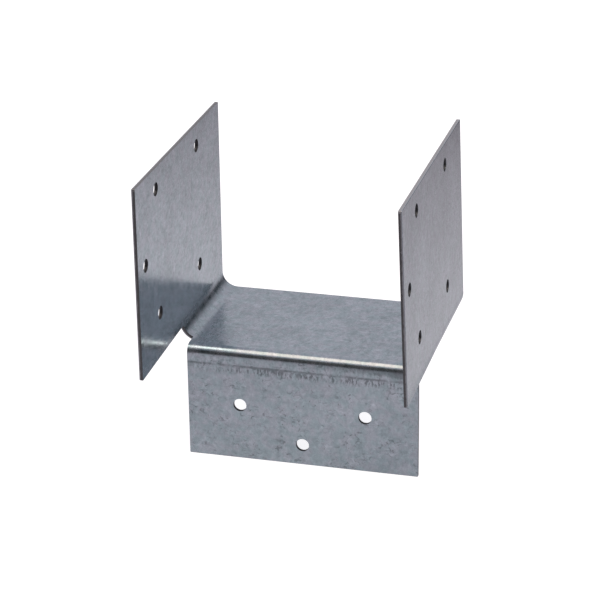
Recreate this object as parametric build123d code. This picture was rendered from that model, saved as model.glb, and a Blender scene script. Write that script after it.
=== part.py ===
from build123d import *
from math import cos, radians, sin, tan
import os

# A U bracket for timber framing, folded from one piece of galvanised steel sheet.
# A beam lies along Y on the seat, between two upright beam flanges. The post ends
# under the seat, against the inner face of the post flange that is folded down
# from the seat's front edge. Two slots in the blank part the beam flanges from
# the post flange, so the beam flanges run on in front of it as flat noses.
#
# Millimetres. +Z is up, and +Y runs from the post flange to the seat's rear edge.
# The origin is on the seat's underside, halfway between the beam flanges and
# halfway from the post flange's outer face to the rear edge.

# Sheet
sheet_thickness = 1.3               # 18 gauge

# Seat and beam flanges
beam_width = 90.5                   # clear width between the beam flanges, at the seat
seat_depth = 56.0                   # post flange's outer face to the rear edge
beam_flange_reach = 38.0            # how far the beam flanges run on past the post flange
beam_flange_height = 72.0           # seat to top edge, along the flange
beam_bend_radius = 5.7              # inside the fold
right_flange_lean = 1.9             # degrees that the right flange leans in over the seat

# Post flange
post_flange_inset = 3.35            # beam flange's inner face to the post flange's side edge
post_flange_drop = 42.1             # seat to bottom edge
post_bend_radius = 2.0              # inside the fold

# Slots that part the beam flanges from the post flange
slot_setback = 3.7                  # start of the post fold to the slot's blind end
foot_height_at_slot = 4.1           # seat to the beam flange's lower edge, at the blind end
foot_height_at_front = 3.0          # the same at the front edge, as the foot runs downhill

# Nail holes. Each beam flange has four, at the corners of a rectangle, and a fifth
# by the front edge, halfway up the rectangle. The post flange has a pair and a
# third below it on the centre line.
nail_hole_diameter = 5.0
beam_hole_front_margin = 21.0       # front edge to the rectangle
beam_hole_rear_margin = 27.4        # rectangle to the rear edge
beam_hole_lift = 19.4               # seat to the rectangle
beam_hole_top_margin = 7.5          # rectangle to the top edge
nose_hole_margin = 7.8              # front edge to the fifth hole
post_hole_side_margin = 19.1        # side edge to each hole of the pair
post_hole_drop = 21.3               # seat to the pair
low_hole_margin = 7.6               # bottom edge to the third hole

# Worked out from the sizes above
seat_top = sheet_thickness
post_face_y = -seat_depth / 2
rear_edge_y = seat_depth / 2
front_edge_y = post_face_y - beam_flange_reach
post_fold_y = post_face_y + post_bend_radius + sheet_thickness
slot_end_y = post_fold_y + slot_setback
post_flange_half_width = beam_width / 2 - post_flange_inset
drill_reach = 4 * sheet_thickness   # how far a drill runs each way from the sheet
LEFT = -1
RIGHT = 1
leans = {LEFT: 0.0, RIGHT: radians(right_flange_lean)}


def fold_run(radius, side):
    """How far a beam flange's fold reaches from its sharp corner, at a radius."""
    return radius * tan((radians(90) + leans[side]) / 2)


def flat_half_width(side):
    """Centre line to the edge of the seat's flat part, where the fold starts."""
    return beam_width / 2 - fold_run(beam_bend_radius, side)


def rounded_face(corners):
    """Flat face inside a closed outline of points, each with its corner's radius."""
    points = [point for point, radius in corners]
    radii = [radius for point, radius in corners]
    return Face(Wire(FilletPolyline(*points, radius=radii, close=True).edges()))


def beam_flange_point(side, y, height, outward=0.0):
    """Point on a beam flange: height up along it, and outward from its inner face."""
    lean = leans[side]
    x = beam_width / 2 - height * sin(lean) + outward * cos(lean)
    z = seat_top + height * cos(lean) + outward * sin(lean)
    return side * x, y, z


def flange_outward(side):
    """Direction square to a beam flange, away from the beam."""
    return side * cos(leans[side]), 0, sin(leans[side])


def channel_section(y):
    """Section across the seat and both beam flanges, where the fold isn't slotted."""
    outer_radius = beam_bend_radius + sheet_thickness
    left_corner = -beam_width / 2 - fold_run(sheet_thickness, LEFT)
    right_corner = beam_width / 2 + fold_run(sheet_thickness, RIGHT)
    return rounded_face([
        (beam_flange_point(LEFT, y, beam_flange_height), 0),
        (beam_flange_point(LEFT, y, 0), beam_bend_radius),
        (beam_flange_point(RIGHT, y, 0), beam_bend_radius),
        (beam_flange_point(RIGHT, y, beam_flange_height), 0),
        (beam_flange_point(RIGHT, y, beam_flange_height, sheet_thickness), 0),
        ((right_corner, y, 0), outer_radius),
        ((left_corner, y, 0), outer_radius),
        (beam_flange_point(LEFT, y, beam_flange_height, sheet_thickness), 0),
    ])


def seat_and_folds():
    """Channel of the seat, its side folds and the flanges, from the slots' ends to the rear."""
    length = rear_edge_y - slot_end_y
    return extrude(channel_section(slot_end_y), amount=length, dir=(0, 1, 0))


def beam_flange_nose(side):
    """Beam flange in front of its slot's end: flat right down to its foot, which slopes."""
    outline = Polyline(
        beam_flange_point(side, slot_end_y, foot_height_at_slot),
        beam_flange_point(side, slot_end_y, beam_flange_height),
        beam_flange_point(side, front_edge_y, beam_flange_height),
        beam_flange_point(side, front_edge_y, foot_height_at_front),
        close=True,
    )
    return extrude(make_face(outline), amount=sheet_thickness, dir=flange_outward(side))


def seat_corner(side):
    """Block round a front corner of the seat, from the seat's flat part to its side edge."""
    width = post_flange_half_width - flat_half_width(side)
    block = Box(width, slot_setback, 2 * beam_bend_radius, align=Align.MIN)
    block = Pos(flat_half_width(side), post_fold_y, -beam_bend_radius) * block
    return block if side == RIGHT else mirror(block, about=Plane.YZ)


def twisted_corner(side, flat_sheet):
    """Seat corner that rises from flat, at the post fold, into the beam flange's fold."""
    ends = seat_corner(side).faces().sort_by(Axis.Y)
    flat_end = ends[0] & flat_sheet
    curved_end = ends[-1] & channel_section(slot_end_y)
    return loft([flat_end.face(), curved_end.face()], ruled=True)


def post_flange():
    """The flange folded down from the seat, its fold, and the seat up to the blind ends."""
    left_edge_x = -post_flange_half_width
    inner_face_y = post_face_y + sheet_thickness
    bottom_z = seat_top - post_flange_drop
    section = rounded_face([
        ((left_edge_x, slot_end_y, seat_top), 0),
        ((left_edge_x, post_face_y, seat_top), post_bend_radius + sheet_thickness),
        ((left_edge_x, post_face_y, bottom_z), 0),
        ((left_edge_x, inner_face_y, bottom_z), 0),
        ((left_edge_x, inner_face_y, 0), post_bend_radius),
        ((left_edge_x, slot_end_y, 0), 0),
    ])
    flange = extrude(section, amount=2 * post_flange_half_width, dir=(1, 0, 0))
    for side in (LEFT, RIGHT):
        if post_flange_half_width > flat_half_width(side):
            flange = flange - seat_corner(side) + twisted_corner(side, flange)
    return flange


def nail_hole(centre, outward):
    """Drill for one hole, through the sheet and square to its face."""
    drill = Cylinder(nail_hole_diameter / 2, 2 * drill_reach)
    return Plane(origin=centre, z_dir=outward) * drill


def beam_nail_holes(side):
    """Drills for the five holes of one beam flange."""
    front_y = front_edge_y + beam_hole_front_margin
    rear_y = rear_edge_y - beam_hole_rear_margin
    low = beam_hole_lift
    high = beam_flange_height - beam_hole_top_margin
    places = [(y, height) for y in (front_y, rear_y) for height in (low, high)]
    places.append((front_edge_y + nose_hole_margin, (low + high) / 2))
    outward = flange_outward(side)
    return [nail_hole(beam_flange_point(side, y, height), outward) for y, height in places]


def post_nail_holes():
    """Drills for the three holes of the post flange."""
    pair_x = post_flange_half_width - post_hole_side_margin
    pair_z = seat_top - post_hole_drop
    low_z = seat_top - post_flange_drop + low_hole_margin
    places = [(-pair_x, pair_z), (pair_x, pair_z), (0, low_z)]
    return [nail_hole((x, post_face_y, z), (0, -1, 0)) for x, z in places]


u_bracket = seat_and_folds() + post_flange()
for flange_side in (LEFT, RIGHT):
    u_bracket += beam_flange_nose(flange_side)
    u_bracket -= beam_nail_holes(flange_side)
u_bracket -= post_nail_holes()

os.makedirs("parts", exist_ok=True)
export_step(u_bracket, "parts/u_bracket.step")
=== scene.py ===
# %% [markdown]
# # A U bracket folded from galvanised sheet
#
# A U bracket joins a timber beam to the top of a post. The beam lies on the seat
# between two upright flanges, and a third flange, folded down from the front of
# the seat, is nailed to the post. The real one is a single piece of sheet steel:
# a press cuts the outline and the nail holes while the sheet is flat, and a brake
# then folds it along three lines.
#
# It could be modelled from thin boxes, but the zinc's pattern would then jump at
# every fold. This lesson follows the factory instead. It draws the flat blank,
# gives it real cut edges, and then folds every point to its place.

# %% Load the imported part
import math
import bpy
import numpy as np
from mathutils import Matrix, Vector
from mathutils.geometry import delaunay_2d_cdt


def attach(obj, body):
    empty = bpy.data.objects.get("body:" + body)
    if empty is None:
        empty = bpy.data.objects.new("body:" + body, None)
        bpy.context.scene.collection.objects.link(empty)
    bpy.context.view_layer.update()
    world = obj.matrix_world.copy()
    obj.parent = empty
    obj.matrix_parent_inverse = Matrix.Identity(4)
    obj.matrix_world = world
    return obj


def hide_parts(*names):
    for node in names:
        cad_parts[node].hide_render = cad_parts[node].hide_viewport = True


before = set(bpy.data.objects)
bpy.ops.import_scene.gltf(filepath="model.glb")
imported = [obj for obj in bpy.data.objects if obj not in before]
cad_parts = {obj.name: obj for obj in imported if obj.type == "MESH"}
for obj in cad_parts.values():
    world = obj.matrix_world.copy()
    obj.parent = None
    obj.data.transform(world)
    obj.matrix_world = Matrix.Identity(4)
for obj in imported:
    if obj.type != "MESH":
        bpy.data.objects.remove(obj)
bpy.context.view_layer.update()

MM = 0.001  # Blender works in metres here, and sheet metal in millimetres

# %% [markdown]
# ## Two helpers
#
# A colour picker shows sRGB hex values, but a shader adds up light, so it needs
# linear ones. The other helper adds one shader node with its settings, input
# values and links, which keeps each material short enough to read. Most links
# come from a node's first output, so a node stands for that one. An input goes
# by its name, or by its number where names repeat: 1 to 4 are a Map Range's From
# and To, and 0, 6 and 7 are a colour Mix's factor and its two colours.

# %% Colours and nodes
def linear(hex_colour):
    """Turns an sRGB hex colour into the linear RGBA that a shader needs."""
    parts = [int(hex_colour[i:i + 2], 16) / 255 for i in (1, 3, 5)]
    return tuple(c / 12.92 if c <= 0.04045 else ((c + 0.055) / 1.055) ** 2.4 for c in parts) + (1,)


def add_node(tree, kind, settings=None, values=None, links=None):
    """Adds one node, and sets its settings, its inputs' values and its inputs' links."""
    node = tree.nodes.new("ShaderNode" + kind)
    for name, value in (settings or {}).items():
        setattr(node, name, value)
    for socket, value in (values or {}).items():
        node.inputs[socket].default_value = value
    for socket, source in (links or {}).items():
        is_node = isinstance(source, bpy.types.Node)
        tree.links.new(source.outputs[0] if is_node else source, node.inputs[socket])
    return node


# %% [markdown]
# ## The sizes of the sheet
#
# These are the sizes that a drawing of the bracket would give, in millimetres.
# The fold lines run along Y on the two sides and along X at the front. The right
# flange leans in by about two degrees, as a fold made by hand often does. The
# punch leaves a hole a tenth tighter in its wall than at its rims.

# %% Sizes
SHEET = 1.3                     # 18 gauge
HALF_WIDTH = 45.25              # centre line to a beam flange's inner face
FLANGE_HEIGHT = 72.0
REAR, FRONT = 28.0, -66.0       # the beam flanges' rear and front edges
SIDE_RADIUS = 5.7               # inside the side folds
LEAN = math.radians(1.9)        # of the right flange
POST_HALF_WIDTH = 41.9
POST_FOLD = -24.7               # where the front fold starts
POST_RADIUS = 2.0               # inside the front fold
POST_RUN = 38.8                 # front fold to the post flange's bottom edge
SLOT_END = -21.0                # blind end of the slots beside the post flange
FOOT_AT_SLOT, FOOT_AT_FRONT = 4.1, 3.0  # a beam flange's lower edge above the seat
HOLE_RADIUS = 2.37              # of the punched wall, which opens a little at its rims

MIDDLE = SHEET / 2              # the layer that keeps its length in a fold
POST_ARC = (POST_RADIUS + MIDDLE) * math.pi / 2


def side_fold(side):
    """Angle of a side fold, where it starts, its length, and how far it eats into the flange."""
    angle = math.pi / 2 + (LEAN if side > 0 else 0)
    eaten = SIDE_RADIUS * math.tan(angle / 2)
    return angle, HALF_WIDTH - eaten, (SIDE_RADIUS + MIDDLE) * angle, eaten


print("flat width of the blank, mm:", round(sum(
    start + arc + FLANGE_HEIGHT - eaten for _, start, arc, eaten in map(side_fold, (-1, 1))), 1))

# %% [markdown]
# ## The flat blank
#
# The blank is a plain outline: a wide strip for the seat and its two flanges, and
# a tab between two slots that becomes the post flange. Its corners are a hair
# round, as a press tool leaves them. A flange's height on the bracket turns into
# a distance on the blank by adding the fold's length.

# %% Outline and holes of the blank
def across(side, height):
    """Place on the blank, across the folds, of a height up a beam flange."""
    angle, start, arc, eaten = side_fold(side)
    return side * (start + arc + height - eaten)


post_bottom = POST_FOLD - POST_ARC - POST_RUN
left_half = [
    (across(-1, FLANGE_HEIGHT), REAR), (across(-1, FLANGE_HEIGHT), FRONT),
    (across(-1, FOOT_AT_FRONT), FRONT), (across(-1, FOOT_AT_SLOT), SLOT_END),
    (-POST_HALF_WIDTH, SLOT_END), (-POST_HALF_WIDTH, post_bottom),
]
right_half = [
    (POST_HALF_WIDTH, post_bottom), (POST_HALF_WIDTH, SLOT_END),
    (across(1, FOOT_AT_SLOT), SLOT_END), (across(1, FOOT_AT_FRONT), FRONT),
    (across(1, FLANGE_HEIGHT), FRONT), (across(1, FLANGE_HEIGHT), REAR),
]
corners = np.array(left_half + right_half)

flange_holes = [(-45.0, 19.4), (-45.0, 64.5), (0.6, 19.4), (0.6, 64.5), (-58.2, 41.95)]
holes = [(across(side, height), y) for side in (-1, 1) for y, height in flange_holes]
pair_row = POST_FOLD - POST_ARC - 18.0
holes += [(-22.8, pair_row), (22.8, pair_row), (0.0, POST_FOLD - POST_ARC - 31.2)]
print(len(corners), "corners and", len(holes), "nail holes")

# %% [markdown]
# ## Folding
#
# Folding is one function. It takes points of the blank, as a distance across, a
# distance along and a depth below the upper skin, and gives their places on the
# bracket. In a fold the middle layer keeps its length, so the angle is the
# distance divided by that layer's radius. Sheet is never quite flat, so the
# depth also gets a ripple of a few hundredths of a millimetre, longer along the
# way the sheet was rolled: enough to bend a reflection and too little to see.
#
# In front of the slots' blind ends a beam flange is flat right down to its foot,
# and the seat is flat out to its sides. Both ease into the side fold's curve
# over a few millimetres, as the metal does there.

# %% Shapes of a wave and a step
def smooth(t):
    """A step from 0 to 1 that starts and ends gently."""
    t = np.clip(t, 0, 1)
    return t * t * (3 - 2 * t)


def ripple(u, v):
    """Height of the rolled sheet's gentle waves."""
    long_waves = np.sin(u / 21 + 1.3 * np.sin(v / 17)) * np.sin(v / 9.5 + 0.6 * np.sin(u / 26))
    short_waves = np.sin(u / 9 + v / 13 + 2) * np.sin(v / 4.3 - u / 31)
    return 0.020 * long_waves + 0.005 * short_waves


print("ripple at one place of the seat, mm:", round(float(ripple(20.0, -10.0)), 4))

# %% Fold the sheet
NOSE_SIDE = POST_HALF_WIDTH + 0.8  # a point of the blank past this belongs to a beam flange
NOSE_RUN = 3.0                     # how soon a beam flange's foot is flat, past the blind end


def fold(flat):
    """Places on the bracket, in mm, of blank points given as across, along and depth."""
    u, v, depth = flat.T
    depth = depth - ripple(u, v)
    right = u > 0
    angle = np.where(right, math.pi / 2 + LEAN, math.pi / 2)
    start = np.where(right, side_fold(1)[1], side_fold(-1)[1])
    side = np.sign(u)
    past = np.abs(u) - start
    arc = (SIDE_RADIUS + MIDDLE) * angle
    radius = SIDE_RADIUS + depth

    turn = np.clip(past / (SIDE_RADIUS + MIDDLE), 0, angle)
    run = np.where(past < 0, past, np.maximum(past - arc, 0))
    flat_z = SHEET - depth
    in_x = start + radius * np.sin(turn) + run * np.where(past < 0, 1, np.cos(angle))
    in_z = SHEET + SIDE_RADIUS - radius * np.cos(turn) + np.maximum(run, 0) * np.sin(angle)
    channel = np.stack([side * in_x, v, in_z], 1)

    up = past - arc
    nose_x = start + radius * np.sin(angle) + up * np.cos(angle)
    nose_z = SHEET + SIDE_RADIUS - radius * np.cos(angle) + up * np.sin(angle)
    nose = np.stack([side * nose_x, v, nose_z], 1)

    down = np.clip((POST_FOLD - v) / (POST_RADIUS + MIDDLE), 0, math.pi / 2)
    reach = POST_RADIUS + SHEET - depth
    drop = np.maximum(POST_FOLD - v - POST_ARC, 0)
    in_post = v < POST_FOLD
    tab = np.stack([
        u,
        np.where(in_post, POST_FOLD - reach * np.sin(down), v),
        np.where(in_post, reach * np.cos(down) - POST_RADIUS - drop, flat_z),
    ], 1)

    in_flange = np.abs(u) > NOSE_SIDE
    to_nose = smooth((SLOT_END - v) / NOSE_RUN)[:, None]
    to_tab = smooth((SLOT_END - v) / (SLOT_END - POST_FOLD))[:, None]
    flange = channel * (1 - to_nose) + nose * to_nose
    seat = channel * (1 - to_tab) + tab * to_tab
    return np.where(in_flange[:, None], flange, seat)


def folded_normals(flat, directions):
    """Turns directions on the blank into unit normals on the bracket, by the fold's own slope."""
    step = 0.01
    slopes = []
    for axis in range(3):
        shift = np.zeros(3)
        shift[axis] = step
        slopes.append((fold(flat + shift) - fold(flat - shift)) / (2 * step))
    jacobian = np.stack(slopes, 1)
    normals = np.linalg.solve(jacobian, directions[:, :, None])[:, :, 0]
    return normals / np.linalg.norm(normals, axis=1, keepdims=True)


print("rear left corner goes to", fold(np.array([[*corners[0], 0.0]]))[0].round(2))

# %% [markdown]
# ## Points of the mesh
#
# A flat face needs few points and a fold needs many, so the blank gets lines
# that are close together across the folds and further apart elsewhere. The
# outline gets a point wherever one of those lines meets it, so that the folds
# run cleanly through the cut edges.

# %% Lines of the mesh
def stops(marks_and_shadow, coarse, fine_zones, fine):
    """Places along one axis: coarse steps between marks, and fine ones inside the zones."""
    found = []
    for low, high in zip(marks_and_shadow[:-1], marks_and_shadow[1:]):
        middle = (low + high) / 2
        near = any(a <= middle <= b for a, b in fine_zones)
        count = max(1, math.ceil((high - low) / (fine if near else coarse)))
        found += list(np.linspace(low, high, count, endpoint=False))
    return np.array(found + [marks_and_shadow[-1]])


COARSE = 1.5  # mm between the lines where the sheet is flat
fold_zones = []
for side in (-1, 1):
    angle, start, arc, eaten = side_fold(side)
    fold_zones.append(sorted((side * start, side * (start + arc))))
u_marks = sorted([corners[:, 0].min(), *fold_zones[0], *fold_zones[1], corners[:, 0].max()])
u_lines = stops(u_marks, COARSE, fold_zones, 0.5)
v_marks = [post_bottom, POST_FOLD - POST_ARC, POST_FOLD, SLOT_END, REAR]
v_lines = stops(v_marks, COARSE, [(POST_FOLD - POST_ARC, SLOT_END)], 0.24)
print("lines across and along:", len(u_lines), len(v_lines))

# %% Outline and hole points
def round_corner(before, corner, after, radius=0.35, steps=4):
    """Points of a small arc in place of a sharp corner."""
    to_before = (before - corner) / np.linalg.norm(before - corner)
    to_after = (after - corner) / np.linalg.norm(after - corner)
    a, b = corner + radius * to_before, corner + radius * to_after
    share = np.linspace(0, 1, steps + 1)[:, None]
    return (1 - share) ** 2 * a + 2 * share * (1 - share) * corner + share ** 2 * b


def outline_points():
    """The blank's outline, counter-clockwise, with points where the mesh lines meet it."""
    rounded = [round_corner(corners[i - 1], corners[i], corners[(i + 1) % len(corners)])
               for i in range(len(corners))]
    points = []
    for i, arc in enumerate(rounded):
        points += list(arc)
        a, b = arc[-1], rounded[(i + 1) % len(rounded)][0]
        axis, lines = (0, u_lines) if abs(b[0] - a[0]) > abs(b[1] - a[1]) else (1, v_lines)
        shares = (lines - a[axis]) / (b[axis] - a[axis])
        gap = 0.1 / np.linalg.norm(b - a)
        points += [a + t * (b - a) for t in sorted(shares[(shares > gap) & (shares < 1 - gap)])]
    return np.array(points)


def circle(centre, radius, count, turn=1):
    """Points of a circle, turning one way or the other."""
    angles = turn * np.linspace(0, 2 * math.pi, count, endpoint=False)
    return np.array(centre) + radius * np.stack([np.cos(angles), np.sin(angles)], 1)


loops = [outline_points()] + [circle(hole, HOLE_RADIUS, 48, turn=-1) for hole in holes]
print("outline points:", len(loops[0]), "- hole loops:", len(loops) - 1)

# %% [markdown]
# ## The cut edge
#
# A press doesn't leave a square edge. The die draws the outer skin down a little
# before the sheet breaks, which rounds that corner, and the inner corner keeps a
# small burr. The edge is a list of steps through the sheet: how far in from the
# outline, how deep, and which way the surface faces. Its thin rounded strip is
# what catches a line of light along a real edge. A small punch draws less sheet
# with it than a long blade, so the nail holes get a sharper rim.

# %% Profile of a cut edge
def cut_profile(drawn, burr):
    """Steps from the upper skin to the lower one: distance in, depth and turn of the surface."""
    steps = []
    for degrees in (0, 45, 90):
        a = math.radians(degrees)
        steps.append((burr * (1 - math.sin(a)), burr * (1 - math.cos(a)), a))
    steps += [(0.0, depth, math.pi / 2) for depth in (0.35, 0.6, 0.8)]
    for degrees in (90, 108, 130, 155, 180):
        a = math.radians(degrees)
        steps.append((drawn * (1 - math.sin(a)), SHEET - drawn * (1 + math.cos(a)), a))
    return steps


profiles = [cut_profile(0.22, 0.06)] + [cut_profile(0.08, 0.03)] * len(holes)
ZINC_FROM = 8  # the step from which the rounded strip still has its zinc


def inward(loop):
    """Unit directions into the material at each point of a loop, scaled to keep the inset even."""
    ahead = np.roll(loop, -1, 0) - loop
    ahead /= np.linalg.norm(ahead, axis=1, keepdims=True)
    left = np.stack([-ahead[:, 1], ahead[:, 0]], 1)
    both = left + np.roll(left, 1, 0)
    both /= np.linalg.norm(both, axis=1, keepdims=True)
    return both, 1 / np.maximum((both * left).sum(1, keepdims=True), 0.5)


print("steps through the edge:", len(profiles[0]))

# %% [markdown]
# ## Skins, edges and the folded mesh
#
# Both skins share one flat triangulation, whose rim is the first or last step of
# the edge. Rows of quads join the rims. Everything is laid out flat, folded in
# one go, and given normals from the fold's own slope, so that a flat face shades
# flat right up to its rounded edge.

# %% Two tests of a point and a loop
def inside(points, loop):
    """True for points inside a closed loop."""
    result = np.zeros(len(points), bool)
    x, y = points.T
    for (x1, y1), (x2, y2) in zip(loop, np.roll(loop, -1, 0)):
        if y1 != y2:
            crossing = (y1 > y) != (y2 > y)
            result ^= crossing & (x < (x2 - x1) * (y - y1) / (y2 - y1) + x1)
    return result


def clearance(points, loop):
    """Distance from each point to a closed loop."""
    nearest = np.full(len(points), np.inf)
    for a, b in zip(loop, np.roll(loop, -1, 0)):
        ab = b - a
        share = np.clip(((points - a) @ ab) / (ab @ ab), 0, 1)[:, None]
        nearest = np.minimum(nearest, np.linalg.norm(points - a - share * ab, axis=1))
    return nearest


print("is the seat's middle inside:", inside(np.zeros((1, 2)), loops[0])[0])

# %% Triangulate one skin
RING_WIDTH = 0.8   # mm from a hole to a ring of points round it
RING_ROOM = 1.4    # mm from a hole to the grid's nearest point
EDGE_ROOM = 0.42   # mm from the outline to the grid's nearest point

rims = []
for loop, profile in zip(loops, profiles):
    direction, stretch = inward(loop)
    rims.append(loop + direction * stretch * profile[0][0])

grid = np.stack(np.meshgrid(u_lines, v_lines), 2).reshape(-1, 2)
grid = grid[inside(grid, loops[0])]
grid = grid[clearance(grid, corners) > EDGE_ROOM]
for hole in holes:
    grid = grid[np.linalg.norm(grid - hole, axis=1) > HOLE_RADIUS + RING_ROOM]
rings = [circle(hole, HOLE_RADIUS + RING_WIDTH, 32) for hole in holes]
flat_points = np.concatenate(rims + rings + [grid])

rim_edges, first = [], 0
for rim in rims:
    rim_edges += [(first + i, first + (i + 1) % len(rim)) for i in range(len(rim))]
    first += len(rim)
rim_count = first
made = delaunay_2d_cdt([Vector(p) for p in flat_points], rim_edges, [], 0, 1e-7)
assert len(made[0]) == len(flat_points)
order = np.array([sources[0] for sources in made[3]])
skin_faces = order[np.array(made[2])]
middles = flat_points[skin_faces].mean(1)
keep = inside(middles, rims[0])
for rim in rims[1:]:
    keep &= ~inside(middles, rim)
skin_faces = skin_faces[keep]
print("points in a skin:", len(flat_points), "- triangles:", len(skin_faces))

# %% Join the skins
GALVANISED, SHEARED, PUNCHED = 0, 1, 2
flat_xyz = [np.c_[flat_points, np.zeros(len(flat_points))]]
facing = [np.tile((0.0, 0.0, -1.0), (len(flat_points), 1))]
faces = [tuple(f) for f in skin_faces]
face_slots = [GALVANISED] * len(faces)
face_lower = [False] * len(faces)

total, rim_start = len(flat_points), 0
lower_rim = []
for number, (loop, profile) in enumerate(zip(loops, profiles)):
    direction, stretch = inward(loop)
    count = len(loop)
    previous = np.arange(rim_start, rim_start + count)
    for step, (inset, depth, turned) in enumerate(profile[1:], 1):
        row = np.arange(total, total + count)
        flat_xyz.append(np.c_[loop + direction * stretch * inset, np.full(count, depth)])
        facing.append(np.c_[-direction * math.sin(turned), np.full(count, -math.cos(turned))])
        for i in range(count):
            j = (i + 1) % count
            faces.append((previous[i], row[i], row[j], previous[j]))
        on_drawn_skin = step >= ZINC_FROM
        wall = SHEARED if number == 0 else PUNCHED
        face_slots += [GALVANISED if on_drawn_skin else wall] * count
        face_lower += [on_drawn_skin] * count
        previous, total = row, total + count
    lower_rim.append(previous)
    rim_start += count

inner = len(flat_points) - rim_count
flat_xyz.append(np.c_[flat_points[rim_count:], np.full(inner, SHEET)])
facing.append(np.tile((0.0, 0.0, 1.0), (inner, 1)))
lower = np.concatenate(lower_rim + [np.arange(total, total + inner)])
faces += [tuple(lower[list(reversed(f))]) for f in skin_faces]
face_slots += [GALVANISED] * len(skin_faces)
face_lower += [True] * len(skin_faces)

flat_xyz, facing = np.concatenate(flat_xyz), np.concatenate(facing)
print("points:", len(flat_xyz))

# %% Make the mesh
places = fold(flat_xyz)
normals = folded_normals(flat_xyz, facing)

mesh = bpy.data.meshes.new("folded_sheet")
mesh.from_pydata((places * MM).tolist(), [], [[int(i) for i in f] for f in faces])
mesh.polygons.foreach_set("use_smooth", [True] * len(faces))
mesh.polygons.foreach_set("material_index", face_slots)
mesh.update()
print("faces:", len(mesh.polygons))

# %% [markdown]
# ## A map of the blank
#
# The mill rolls, coats and inspects the sheet while it is flat, so its crystals
# and streaks belong to the blank. A UV map that is simply the blank's own
# coordinates lets every pattern be drawn in flat millimetres and run on round
# the folds. The two skins get separate areas of the map, so they don't repeat
# each other.

# %% Write the map, the depth and the normals
MAP_SIDE = 250.0        # mm across the whole map
MAP_ORIGIN = (125, 75)  # mm, where the blank's own origin lies on the map
LOWER_SKIN = 105        # mm, from a point of the upper skin to the lower skin's on the map
corner_points = np.empty(len(mesh.loops), np.int32)
mesh.loops.foreach_get("vertex_index", corner_points)
sizes = [len(f) for f in faces]
corner_lower = np.repeat(face_lower, sizes)
blank_uv = flat_xyz[corner_points, :2] + MAP_ORIGIN
blank_uv[corner_lower] += (0, LOWER_SKIN)
blank_map = mesh.uv_layers.new(name="blank")
blank_map.data.foreach_set("uv", (blank_uv / MAP_SIDE).astype(np.float32).ravel())

through = mesh.attributes.new("through_sheet", "FLOAT", "POINT")
through.data.foreach_set("value", (flat_xyz[:, 2] / SHEET).astype(np.float32))
mesh.normals_split_custom_set_from_vertices(normals.tolist())

bracket = bpy.data.objects.new("folded_bracket", mesh)
bpy.context.collection.objects.link(bracket)
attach(bracket, "root")
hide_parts("u_bracket")
outward = np.array([p.normal for p in mesh.polygons])
agree = (outward * normals[[f[0] for f in faces]]).sum(1)
print("faces that point the way their normals do:", f"{(agree > 0).mean():.4f}")

# %% [markdown]
# ## Galvanised sheet
#
# The sheet is steel with a skin of zinc a fiftieth of a millimetre thick. It was
# drawn through molten zinc, which froze into flat crystals, and then rolled once
# more to even it out. That gives the eye a bluish grey metal, dull from afar but
# clear enough to mirror a nearby edge. The crystals barely stand up from the
# surface, so they are drawn as changes of tone and gloss, with only a trace of
# relief. Everything starts from the blank's own coordinates in millimetres, and
# a slightly bent copy of them keeps the patterns from looking ruled.

# %% Coordinates of the zinc
def new_material(name):
    """Makes an empty node material."""
    material = bpy.data.materials.new(name)
    material.use_nodes = True
    material.node_tree.nodes.clear()
    return material, material.node_tree


SOFT = {"interpolation_type": "SMOOTHSTEP"}
FLAT = {"noise_dimensions": "2D"}
TIMES = {"operation": "MULTIPLY"}
TIMES_PLUS = {"operation": "MULTIPLY_ADD"}
SCALE = {"operation": "SCALE"}
UP_TO_1 = {"operation": "MULTIPLY_ADD", "use_clamp": True}
COLOURS = {"data_type": "RGBA"}

zinc, tree = new_material("hot_dip_galvanised_steel")
blank_place = add_node(tree, "UVMap", {"uv_map": "blank"})
flat_mm = add_node(tree, "VectorMath", SCALE, {"Scale": MAP_SIDE}, {0: blank_place})
flat_parts = add_node(tree, "SeparateXYZ", links={0: flat_mm})
along_sheet = flat_parts.outputs[1]
across_sheet = add_node(tree, "Math", {"operation": "SUBTRACT"}, {1: float(MAP_ORIGIN[0])},
                        {0: flat_parts})
off_middle = add_node(tree, "Math", {"operation": "ABSOLUTE"}, links={0: across_sheet})
wobble = add_node(tree, "TexNoise", FLAT, {"Scale": 1 / 2.4, "Detail": 2.0}, {"Vector": flat_mm})
bent = add_node(tree, "VectorMath", TIMES_PLUS, {1: (1.6, 1.6, 0)},
                {0: wobble.outputs["Color"], 2: flat_mm})
print("nodes for the zinc's coordinates:", len(tree.nodes))

# %% [markdown]
# ## Parts of the blank
#
# Some marks belong to one part of the bracket. On the blank a part is just a
# range of coordinates: the tab lies between the slots, the post flange is the
# tab beyond the fold's start, and the seat begins on the other side of it. Each
# range has a soft edge, so that no mark stops at a ruled line.

# %% Tab, post flange and seat
FOLD_ROW = POST_FOLD + MAP_ORIGIN[1]
on_tab = add_node(tree, "MapRange", SOFT, {1: 43.5, 2: 42.5}, {0: off_middle})
past_fold = add_node(tree, "MapRange", SOFT, {1: FOLD_ROW, 2: FOLD_ROW - 5}, {0: along_sheet})
on_post = add_node(tree, "Math", TIMES, links={0: on_tab, 1: past_fold})
on_seat = add_node(tree, "MapRange", SOFT, {1: FOLD_ROW, 2: FOLD_ROW + 3}, {0: along_sheet})
print("the fold starts on the map at, mm:", round(FOLD_ROW, 2))

# %% [markdown]
# ## Tone of the zinc
#
# Five patterns make the tone: faint crystals of two millimetres, a fine grain,
# streaks along the way the sheet was rolled, a mottle of four millimetres, and
# wider clouds where the zinc cooled differently. Each is stretched over its real
# size: a pattern's scale is one over that size, and one that runs along the
# sheet is squeezed the other way.

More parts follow.
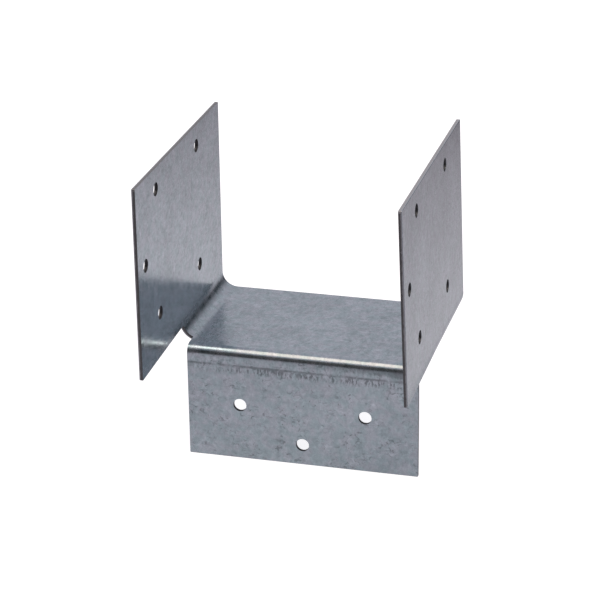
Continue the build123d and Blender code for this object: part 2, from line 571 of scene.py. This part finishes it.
# %% Crystals, grain, streaks, mottle and clouds
crystals = add_node(tree, "TexVoronoi", {"voronoi_dimensions": "2D"}, {"Scale": 1 / 2.0},
                    {"Vector": bent})
crystal_pick = add_node(tree, "SeparateColor", links={0: crystals.outputs["Color"]})
grain_place = add_node(tree, "VectorMath", TIMES, {1: (1 / 1.2, 1 / 1.7, 0)}, {0: flat_mm})
grain = add_node(tree, "TexNoise", FLAT, {
    "Scale": 1.0, "Detail": 3.0, "Roughness": 0.7, "Distortion": 0.5}, {"Vector": grain_place})
streak_place = add_node(tree, "VectorMath", TIMES, {1: (1 / 9, 1 / 0.6, 0)}, {0: flat_mm})
streaks = add_node(tree, "TexNoise", FLAT, {
    "Scale": 1.0, "Detail": 3.0, "Roughness": 0.6}, {"Vector": streak_place})
mottle = add_node(tree, "TexNoise", FLAT, {
    "Scale": 1 / 4.0, "Detail": 3.0, "Roughness": 0.6}, {"Vector": flat_mm})
clouds = add_node(tree, "TexNoise", FLAT, {
    "Scale": 1 / 17, "Detail": 2.0, "Roughness": 0.5}, {"Vector": flat_mm})
print("nodes so far:", len(tree.nodes))

# %% [markdown]
# ## Adding up the tone
#
# The patterns are added round zero, each with its own strength, and then swing
# round 1, so that the mean tone stays as the colours are written. The swing is
# wider on the beam flanges and the seat than on the post flange, whose pattern
# the brake pressed smoother.

# %% Sum of the patterns
tone_parts = [(crystal_pick, 0.12), (grain, 0.62), (streaks, 0.10), (mottle, 0.42), (clouds, 0.24)]
swing = add_node(tree, "Math", TIMES, {0: -0.5, 1: sum(strength for _, strength in tone_parts)})
for pattern, strength in tone_parts:
    swing = add_node(tree, "Math", TIMES_PLUS, {1: strength}, {0: pattern, 2: swing})
flange_gain = add_node(tree, "MapRange", SOFT, {1: 42, 2: 55, 3: 0.8, 4: 1.35}, {0: off_middle})
seat_gain = add_node(tree, "MapRange", values={3: 0.8, 4: 1.15}, links={0: on_seat})
gain = add_node(tree, "Math", {"operation": "MAXIMUM"}, links={0: flange_gain, 1: seat_gain})
tone = add_node(tree, "Math", TIMES_PLUS, {2: 1.0}, {0: swing, 1: gain})
print("patterns in the tone:", len(tone_parts))

# %% [markdown]
# ## Flecks in the zinc
#
# Dross and pin holes leave small dark flecks, drawn out a little along the
# sheet, and bright ones show where the last rolling flattened a high spot. They
# come from one noise, from its highest and its lowest values, and a wider noise
# gathers them in groups. The post flange was handled most and has the most.

# %% Dark and bright flecks
fleck_place = add_node(tree, "VectorMath", TIMES, {1: (1 / 2.1, 1 / 1.3, 0)}, {0: bent})
fleck_noise = add_node(tree, "TexNoise", FLAT, {
    "Scale": 1.0, "Detail": 2.0, "Roughness": 0.55, "Distortion": 0.8}, {"Vector": fleck_place})
groups = add_node(tree, "TexNoise", FLAT, {"Scale": 1 / 7, "Detail": 2.0}, {"Vector": flat_mm})
gathered = add_node(tree, "MapRange", SOFT, {1: 0.38, 2: 0.62, 3: 0.1, 4: 1.0}, {0: groups})
post_share = add_node(tree, "MapRange", values={3: 0.2, 4: 1.0}, links={0: on_post})
fleck_share = add_node(tree, "Math", TIMES, links={0: gathered, 1: post_share})
dark_noise = add_node(tree, "MapRange", SOFT, {1: 0.58, 2: 0.69}, {0: fleck_noise})
dark_flecks = add_node(tree, "Math", TIMES, links={0: dark_noise, 1: fleck_share})
bright_noise = add_node(tree, "MapRange", SOFT, {1: 0.40, 2: 0.31}, {0: fleck_noise})
bright_flecks = add_node(tree, "Math", TIMES, links={0: bright_noise, 1: gathered})
print("nodes so far:", len(tree.nodes))

# %% [markdown]
# ## Marks of the brake
#
# The brake's lower die leaves a faint line beside the front fold. The strip
# between line and fold was pressed against the die's shoulder, which polished
# it, and its tone gets a painted sheen, a trace lighter. The line is a distance
# on the blank, so it stays parallel to the fold, and a noise makes it fade and
# come back.

# %% Die line and polished strip
DIE_LINE = FOLD_ROW - POST_ARC - 2.9
below_line = add_node(tree, "Math", {"operation": "SUBTRACT"}, {0: DIE_LINE}, {1: along_sheet})
from_line = add_node(tree, "Math", {"operation": "ABSOLUTE"}, links={0: below_line})
rub = add_node(tree, "TexNoise", FLAT, {
    "Scale": 1 / 4.5, "Detail": 3.0, "Roughness": 0.6}, {"Vector": flat_mm})
line_shape = add_node(tree, "MapRange", SOFT, {1: 0.8, 2: 0.0}, {0: from_line})
line_breaks = add_node(tree, "MapRange", SOFT, {1: 0.3, 2: 0.6, 3: 0.4, 4: 1.0}, {0: rub})
line_on_tab = add_node(tree, "Math", TIMES, links={0: line_shape, 1: on_tab})
die_line = add_node(tree, "Math", TIMES, links={0: line_on_tab, 1: line_breaks})

strip_end = add_node(tree, "MapRange", SOFT, {1: -0.4, 2: -1.1}, {0: below_line})
strip_start = add_node(tree, "MapRange", SOFT, {1: -3.2, 2: -2.2}, {0: below_line})
strip = add_node(tree, "Math", TIMES, links={0: strip_end, 1: strip_start})
# Real polish for the gloss and the scuffs, and a painted sheen for the tone.
polished_and_sheen = add_node(tree, "Math", TIMES, links={0: strip, 1: on_tab})
print("die line below the fold, mm:", round(FOLD_ROW - POST_ARC - DIE_LINE, 2))

# %% [markdown]
# ## Scuffs under the line
#
# The sheet scuffed as it slid over the die's shoulder. The scuffs are a noise
# drawn out across the fold, kept to a zone under the line, broken by a wider
# noise, and weaker towards the left, where the die was less worn. The polished
# strip has about a third of them.

# %% Scuffs
scrape_place = add_node(tree, "VectorMath", TIMES, {1: (1 / 0.9, 1 / 3.4, 0)}, {0: flat_mm})
scrapes = add_node(tree, "TexNoise", FLAT, {
    "Scale": 1.0, "Detail": 2.0, "Roughness": 0.6, "Distortion": 0.1}, {"Vector": scrape_place})
zone_start = add_node(tree, "MapRange", SOFT, {1: 0.1, 2: 0.8}, {0: below_line})
zone_end = add_node(tree, "MapRange", SOFT, {1: 3.6, 2: 1.8}, {0: below_line})
zone = add_node(tree, "Math", TIMES, links={0: zone_start, 1: zone_end})
to_the_right = add_node(tree, "MapRange", SOFT, {1: -42, 2: -22, 3: 0.35, 4: 1.0},
                        {0: across_sheet})
zone_share = add_node(tree, "Math", TIMES, links={0: to_the_right, 1: on_tab})
zone_on_tab = add_node(tree, "Math", TIMES, links={0: zone, 1: zone_share})
rubbed = add_node(tree, "Math", TIMES_PLUS, {1: 0.35}, {0: polished_and_sheen, 2: zone_on_tab})
scrape_shape = add_node(tree, "MapRange", SOFT, {1: 0.47, 2: 0.56}, {0: scrapes})
scrape_breaks = add_node(tree, "MapRange", SOFT, {1: 0.34, 2: 0.54, 3: 0.2, 4: 1.0}, {0: rub})
scrapes_shown = add_node(tree, "Math", TIMES, links={0: scrape_shape, 1: scrape_breaks})
scuffs = add_node(tree, "Math", TIMES, links={0: rubbed, 1: scrapes_shown})
print("nodes so far:", len(tree.nodes))

# %% [markdown]
# ## Smears of grease
#
# Two soft ovals of painted shadow darken the post flange just below the fold,
# towards its right end, where the right flange's nose shades it: a long thin
# one and a shorter one. Each is a soft oval on the bent coordinates, so that its
# edge is uneven. The oval is the distance from its middle, measured in its own
# half length and half width.

# %% Painted shadow
# The tool marks, and then the painted shadow, add up into one mask.
tool_marks_and_shadow = add_node(tree, "Math", {"operation": "ADD", "use_clamp": True},
                      links={0: die_line, 1: scuffs})
# How far right of the middle and above the die line each oval of painted shadow lies, and how far
# it reaches, in mm.
for right, above, reach_u, reach_v in ((48, 3.7, 80, 1.8), (42, 2.9, 14, 3.2)):
    painted_shadow_place = add_node(tree, "VectorMath", TIMES_PLUS, {
        1: (1 / reach_u, 1 / reach_v, 0),
        2: (-(MAP_ORIGIN[0] + right) / reach_u, -(DIE_LINE + above) / reach_v, 0)}, {0: bent})
    painted_shadow_reach = add_node(tree, "VectorMath", {"operation": "LENGTH"}, links={0: painted_shadow_place})
    painted_shadow = add_node(tree, "MapRange", SOFT, {1: 1.0, 2: 0.1}, {0: painted_shadow_reach.outputs["Value"]})
    painted_shadow_on_tab = add_node(tree, "Math", TIMES, links={0: painted_shadow, 1: on_tab})
    tool_marks_and_shadow = add_node(tree, "Math", UP_TO_1, {1: 0.8}, {0: painted_shadow_on_tab, 2: tool_marks_and_shadow})
# Dark flecks join them, so this mask holds real marks and painted shadow.
marks_and_shadow = add_node(tree, "Math", UP_TO_1, {1: 0.7}, {0: dark_flecks, 2: tool_marks_and_shadow})
print("nodes so far:", len(tree.nodes))

# %% [markdown]
# ## Colour of the zinc
#
# The marks and the painted shadow darken the tone, and the bright flecks lift
# it. A painted sheen lifts the polished strip by a trace more. Two close greys
# follow the four-millimetre mottle, one greener and one more violet, as zinc is
# where its oxide is thinner or thicker.

# %% Greys and tone
darker = add_node(tree, "Math", TIMES_PLUS, {1: -0.45, 2: 1.0}, {0: marks_and_shadow})
brighter = add_node(tree, "Math", TIMES_PLUS, {1: 0.14}, {0: bright_flecks, 2: darker})
# A painted sheen lifts the polished strip's tone by a trace.
shade = add_node(tree, "Math", TIMES_PLUS, {1: 0.03}, {0: polished_and_sheen, 2: brighter})
full_tone = add_node(tree, "Math", TIMES, links={0: tone, 1: shade})
oxide = add_node(tree, "MapRange", SOFT, {1: 0.36, 2: 0.64}, {0: mottle})
grey = add_node(tree, "Mix", COLOURS, {6: linear("#a1b0b8"), 7: linear("#a6aeb8")}, {0: oxide})
colour = add_node(tree, "VectorMath", SCALE, links={0: grey.outputs[2], "Scale": full_tone})
print("nodes so far:", len(tree.nodes))

# %% [markdown]
# ## Gloss and relief
#
# The mottle makes the gloss uneven, and marks roughen it. The seat is a little
# duller, rubbed by what was stacked on it. In the side folds the zinc crazes as
# it bends, so they mirror only broad light and dark. The crystals and the grain
# stand up by four thousandths of a millimetre at most.

# %% Finish of the zinc
FOLD_START, FOLD_END = side_fold(-1)[1], side_fold(-1)[1] + side_fold(-1)[2]
into_fold = add_node(tree, "MapRange", SOFT, {1: FOLD_START - 1.5, 2: FOLD_START + 1.5},
                     {0: off_middle})
out_of_fold = add_node(tree, "MapRange", SOFT, {1: FOLD_END + 2.0, 2: FOLD_END - 1.0},
                       {0: off_middle})
crazed = add_node(tree, "Math", TIMES, links={0: into_fold, 1: out_of_fold})
between_folds = add_node(tree, "Math", {"operation": "SUBTRACT"}, {0: 1.0}, {1: into_fold})
matt_seat = add_node(tree, "Math", TIMES, links={0: on_seat, 1: between_folds})
gloss = add_node(tree, "MapRange", SOFT, {1: 0.3, 2: 0.7, 3: 0.16, 4: 0.24}, {0: mottle})
for place, rougher in ((matt_seat, 0.06), (marks_and_shadow, 0.15), (crazed, 0.10), (polished_and_sheen, -0.03)):
    gloss = add_node(tree, "Math", TIMES_PLUS, {1: rougher}, {0: place, 2: gloss})
relief = add_node(tree, "Math", TIMES_PLUS, {1: 0.3}, {0: crystal_pick.outputs[1], 2: grain})
bumps = add_node(tree, "Bump", values={"Strength": 1.0, "Distance": 0.004 * MM},
                 links={"Height": relief})
zinc_skin = add_node(tree, "BsdfPrincipled", values={"Metallic": 1.0}, links={
    "Base Color": colour, "Roughness": gloss, "Normal": bumps})
add_node(tree, "OutputMaterial", links={"Surface": zinc_skin})
print("nodes in the zinc:", len(tree.nodes))

# %% [markdown]
# ## The sheared edge
#
# A blade first slides into the steel and burnishes it, and then the rest tears.
# So a cut edge has a smooth lighter band on the side that was cut first, and a
# torn band beyond it, dark and grainy, where bare steel has dulled. The mesh
# carries how far through the sheet each point is, and a noise makes the border
# between the two bands uneven, as it is on a real edge.

# %% Burnished and torn bands
edge, tree = new_material("sheared_steel_edge")
depth_share = add_node(tree, "Attribute", {"attribute_name": "through_sheet"}).outputs["Fac"]
edge_place = add_node(tree, "TexCoord").outputs["Object"]
uneven = add_node(tree, "TexNoise", values={
    "Scale": 1 / (1.8 * MM), "Detail": 3.0}, links={"Vector": edge_place})
border = add_node(tree, "Math", TIMES_PLUS, {1: 0.5}, {0: uneven, 2: depth_share})
burnished = add_node(tree, "MapRange", SOFT, {1: 0.80, 2: 0.95}, {0: border})
# Torn grain is near 0.1 mm, drawn here at 0.35 mm so that it shows.
tear = add_node(tree, "TexNoise", values={
    "Scale": 1 / (0.35 * MM), "Detail": 3.0, "Roughness": 0.7}, links={"Vector": edge_place})
torn_grey = add_node(tree, "Mix", COLOURS, {6: linear("#54565a"), 7: linear("#77787b")}, {0: tear})
sheared_grey = add_node(tree, "Mix", COLOURS, {7: linear("#94979d")},
                        {0: burnished, 6: torn_grey.outputs[2]})
print("nodes so far:", len(tree.nodes))

# %% [markdown]
# ## The coil's slit sides
#
# The blank is as wide as its coil, which round knives slit long before the press
# cut the rest. Those two sides, now the top edges of the beam flanges, are drawn
# in a paler grey, the right one most. They are the places furthest to each side
# on the map.

# %% Slit sides, gloss and grain of the edge
SIDE_EDGE = min(abs(across(side, FLANGE_HEIGHT)) for side in (-1, 1))
# Shares of the paler grey on the right and left slit sides.
RIGHT_PALE, LEFT_PALE = 1.0, 0.4
edge_flat = add_node(tree, "SeparateXYZ", links={0: add_node(tree, "UVMap", {"uv_map": "blank"})})
right_side = add_node(tree, "MapRange", values={
    1: (MAP_ORIGIN[0] + SIDE_EDGE - 1.0) / MAP_SIDE,
    2: (MAP_ORIGIN[0] + SIDE_EDGE - 0.5) / MAP_SIDE, 4: RIGHT_PALE}, links={0: edge_flat})
left_side = add_node(tree, "MapRange", values={
    1: (MAP_ORIGIN[0] - SIDE_EDGE + 1.0) / MAP_SIDE,
    2: (MAP_ORIGIN[0] - SIDE_EDGE + 0.5) / MAP_SIDE, 4: LEFT_PALE}, links={0: edge_flat})
slit = add_node(tree, "Math", {"operation": "ADD"}, links={0: right_side, 1: left_side})
edge_grey = add_node(tree, "Mix", COLOURS, {7: linear("#b0b3b8")},
                     {0: slit, 6: sheared_grey.outputs[2]})
edge_gloss = add_node(tree, "MapRange", values={3: 0.6, 4: 0.34}, links={0: burnished})
edge_bumps = add_node(tree, "Bump", values={"Strength": 0.7, "Distance": 0.03 * MM},
                      links={"Height": tear})
edge_skin = add_node(tree, "BsdfPrincipled", values={"Metallic": 1.0}, links={
    "Base Color": edge_grey.outputs[2], "Roughness": edge_gloss, "Normal": edge_bumps})
add_node(tree, "OutputMaterial", links={"Surface": edge_skin})
print("nodes in the sheared edge:", len(tree.nodes))

# %% [markdown]
# ## The punched holes
#
# A punch cuts as a blade does: its side of the wall is burnished, and where the
# slug broke away the wall is torn. Both bands are bare steel, painted darker than
# the outer cut edge as painted shade for inside so small a hole, and the
# burnished one is only a little lighter and smoother.
# Fine scratches run through the sheet the way the punch went. They are a noise
# that changes round the hole and hardly at all through the sheet.

# %% Wall of a punched hole
punched, tree = new_material("punched_hole_wall")
depth_share = add_node(tree, "Attribute", {"attribute_name": "through_sheet"}).outputs["Fac"]
wall_place = add_node(tree, "UVMap", {"uv_map": "blank"})
# Real scratches are a few hundredths wide, drawn here at 0.3 mm so that they show.
scratches = add_node(tree, "TexNoise", FLAT, {"Scale": MAP_SIDE / 0.3, "Detail": 2.0},
                     {"Vector": wall_place})
ragged = add_node(tree, "TexNoise", FLAT, {"Scale": MAP_SIDE / 1.5, "Detail": 2.0},
                  {"Vector": wall_place})
break_line = add_node(tree, "Math", TIMES_PLUS, {1: 0.3}, {0: ragged, 2: depth_share})
burnished = add_node(tree, "MapRange", SOFT, {1: 0.60, 2: 0.80}, {0: break_line})
# These greys are darker than bare steel: painted shade inside the hole.
torn_grey = add_node(tree, "Mix", COLOURS, {6: linear("#36373a"), 7: linear("#515256")},
                     {0: scratches})
smooth_grey = add_node(tree, "Mix", COLOURS, {6: linear("#44464a"), 7: linear("#66686d")},
                       {0: scratches})
wall_grey_and_shade = add_node(tree, "Mix", COLOURS, links={
    0: burnished, 6: torn_grey.outputs[2], 7: smooth_grey.outputs[2]})
wall_gloss = add_node(tree, "MapRange", values={3: 0.6, 4: 0.45}, links={0: burnished})
wall_skin = add_node(tree, "BsdfPrincipled", values={"Metallic": 1.0}, links={
    "Base Color": wall_grey_and_shade.outputs[2], "Roughness": wall_gloss})
add_node(tree, "OutputMaterial", links={"Surface": wall_skin})
for material in (zinc, edge, punched):
    mesh.materials.append(material)
print("finishes on the bracket:", [m.name for m in mesh.materials])

# %% [markdown]
# ## The floor
#
# Small metal parts are shown on white paper. The floor is a matt disc at the
# bracket's lowest point. It glows a little for the camera, so that the paper
# reads white round the bracket and still takes its soft shadow. For mirrors of
# metal it glows with a painted pool of light, brightest close by and darker far
# off. Seen from below, the paper lets the camera through.

# %% Paper floor
FLOOR_RADIUS, FLOOR_SIDES = 3.0, 96
bottom = float(places[:, 2].min()) * MM
paper_rim = [(x, y, bottom) for x, y in circle((0, 0), FLOOR_RADIUS, FLOOR_SIDES)]
floor_mesh = bpy.data.meshes.new("studio_floor")
floor_mesh.from_pydata(paper_rim, [], [list(range(FLOOR_SIDES))])
floor = bpy.data.objects.new("studio_floor", floor_mesh)
bpy.context.collection.objects.link(floor)

paper, tree = new_material("white_paper_floor")
path = add_node(tree, "LightPath")
mirrored = add_node(tree, "Math", {"operation": "MAXIMUM"}, links={
    0: path.outputs["Is Glossy Ray"], 1: path.outputs["Is Transmission Ray"]})
floor_place = add_node(tree, "TexCoord").outputs["Object"]
# A painted pool of light: a glow that only mirrors see, fading with distance from the bracket.
painted_pool_place = add_node(tree, "VectorMath", TIMES_PLUS, {1: (2.0, 1, 0), 2: (0, -0.05, 0)},
                      {0: floor_place})
away = add_node(tree, "VectorMath", {"operation": "LENGTH"}, links={0: painted_pool_place})
painted_light_pool = add_node(tree, "MapRange", values={1: 0.0, 2: 0.38, 3: 0.41, 4: 0.0},
                links={0: away.outputs["Value"]})
camera_glow = add_node(tree, "Math", TIMES, {1: 0.80}, {0: path.outputs["Is Camera Ray"]})
glow = add_node(tree, "Math", TIMES_PLUS, links={0: mirrored, 1: painted_light_pool, 2: camera_glow})
paper_skin = add_node(tree, "BsdfPrincipled", values={
    "Base Color": linear("#b6b6c0"), "Roughness": 0.9, "Specular IOR Level": 0.0,
    "Emission Color": (1, 1, 1, 1)}, links={"Emission Strength": glow})
clear = add_node(tree, "BsdfTransparent")
underside = add_node(tree, "NewGeometry").outputs["Backfacing"]
paper_mix = add_node(tree, "MixShader", links={0: underside, 1: paper_skin, 2: clear})
add_node(tree, "OutputMaterial", links={"Surface": paper_mix})
floor_mesh.materials.append(paper)
print("floor height, mm:", round(bottom / MM, 2))

# %% [markdown]
# ## The room
#
# The room is an even white with a trace of violet, and it lights the bracket at
# about half strength. The camera sees it as full white, and mirrors of metal see
# it at two thirds, so that the lamps still stand out in them.

# %% White room
world = bpy.data.worlds.new("studio")
bpy.context.scene.world = world
world.use_nodes = True
tree = world.node_tree
tree.nodes.clear()
path = add_node(tree, "LightPath")
mirrored = add_node(tree, "Math", {"operation": "MAXIMUM"}, links={
    0: path.outputs["Is Glossy Ray"], 1: path.outputs["Is Transmission Ray"]})
room_level = add_node(tree, "MapRange", values={3: 0.55, 4: 0.66}, links={0: mirrored})
level = add_node(tree, "Math", {"operation": "MAXIMUM"}, links={
    0: path.outputs["Is Camera Ray"], 1: room_level})
room_colour = add_node(tree, "Mix", COLOURS, {6: linear("#fffaff"), 7: (1, 1, 1, 1)},
                       {0: path.outputs["Is Camera Ray"]})
room = add_node(tree, "Background", links={"Color": room_colour.outputs[2], "Strength": level})
add_node(tree, "OutputWorld", links={"Surface": room})
print("nodes in the room:", len(tree.nodes))

# %% [markdown]
# ## Lamps
#
# Two warm softboxes hang over the bracket. The wide one lays the bright line
# along the front fold, and the small one to the right is stronger and gives the
# shadow its direction. A softbox is set by how bright its surface looks, because
# that is what metal mirrors.

# %% Softboxes
def softbox(name, width, depth, radiance, place, colour):
    """A rectangular lamp that faces the bracket, set by how bright its own surface looks."""
    lamp = bpy.data.lights.new(name, "AREA")
    lamp.shape = "RECTANGLE"
    lamp.size, lamp.size_y = width, depth
    lamp.energy = radiance * math.pi * width * depth
    lamp.color = linear(colour)[:3]
    made = bpy.data.objects.new(name, lamp)
    bpy.context.collection.objects.link(made)
    made.location = place
    made.rotation_euler = (-Vector(place)).to_track_quat("-Z", "Y").to_euler()
    made.visible_camera = False
    return made


softbox("fill_softbox", 2.6, 1.5, 1.56, (0.0, -0.60, 2.1), "#ffe6c9")
softbox("key_softbox", 0.75, 0.7, 4.3, (0.54, -0.50, 2.05), "#fff2de")

# %% [markdown]
# ## Grey cards
#
# Polished metal looks flat in an all-white room, so dark cards are stood round
# it. The one in front draws the dark line under the front fold. The one at the
# right stands close by and draws the dark line along the left side fold. The
# cards show only in mirrors, and both fade out towards their tops, as a piece of
# gauze does, for a soft edge.

# %% Cards
CARD_PANELS = 24  # flat panels round a card's curve


def card(name, paint_colour, away, azimuths, elevations, fade_from):
    """A curved card, this far off and between two azimuths and two elevations, in degrees.

    Azimuths turn from behind the bracket to its right. The card fades from one elevation
    to its top.
    """
    paint, tree = new_material(name + "_paint")
    height = add_node(tree, "SeparateXYZ", links={0: add_node(tree, "TexCoord").outputs["Object"]})
    rise = [away * math.tan(math.radians(e)) for e in (fade_from, elevations[1])]
    fade = add_node(tree, "MapRange", SOFT, {1: rise[0], 2: rise[1]}, {0: height.outputs[2]})
    grey_paint = add_node(tree, "BsdfPrincipled", values={
        "Base Color": linear(paint_colour), "Roughness": 0.9})
    gauze = add_node(tree, "BsdfTransparent")
    mixed = add_node(tree, "MixShader", links={0: fade, 1: grey_paint, 2: gauze})
    add_node(tree, "OutputMaterial", links={"Surface": mixed})
    turns = [math.radians(t) for t in np.linspace(*azimuths, CARD_PANELS + 1)]
    points = [(away * math.sin(t), away * math.cos(t), away * math.tan(math.radians(e)))
              for e in elevations for t in turns]
    card_mesh = bpy.data.meshes.new(name)
    row = CARD_PANELS + 1
    panels = [(i, i + 1, i + row + 1, i + row) for i in range(CARD_PANELS)]
    card_mesh.from_pydata(points, [], panels)
    card_mesh.materials.append(paint)
    made = bpy.data.objects.new(name, card_mesh)
    bpy.context.collection.objects.link(made)
    made.visible_camera = made.visible_shadow = made.visible_diffuse = False
    return made


card("front_card", "#6c6c6c", 1.4, (110, 250), (-1.5, 44), 34)
card("right_card", "#37434b", 0.40, (4, 70), (-5.8, 26), 4)

# %% [markdown]
# ## The camera
#
# The camera looks down at the bracket from the front and a little to the right,
# through a long lens, as for a catalogue. Its turn is given as three angles:
# round the upright axis, down from level, and a slight roll.

# %% Camera
SENSOR, PICTURE_SIDE = 36, 598      # mm, and pixels across the square picture
LENS_IN_PIXELS = 2308.508
TURN, DOWN, ROLL = 15.32627, 23.00285, -0.83205  # degrees
camera_data = bpy.data.cameras.new("camera")
camera = bpy.data.objects.new("camera", camera_data)
bpy.context.collection.objects.link(camera)
bpy.context.scene.camera = camera
camera_data.sensor_width = SENSOR
camera_data.lens = LENS_IN_PIXELS / PICTURE_SIDE * SENSOR
camera.location = (0.1933314, -0.7352588, 0.3343828)
camera.rotation_mode = "QUATERNION"
camera.rotation_quaternion = (
    Matrix.Rotation(math.radians(TURN), 4, "Z")
    @ Matrix.Rotation(math.radians(90 - DOWN), 4, "X")
    @ Matrix.Rotation(math.radians(ROLL), 4, "Z")
).to_quaternion()
print("lens, mm:", round(camera_data.lens, 1), "- distance, m:", round(camera.location.length, 3))

# %% [markdown]
# ## Finish
#
# The Standard view shows each colour about as it was written.

# %% View transform
bpy.context.scene.view_settings.view_transform = "Standard"
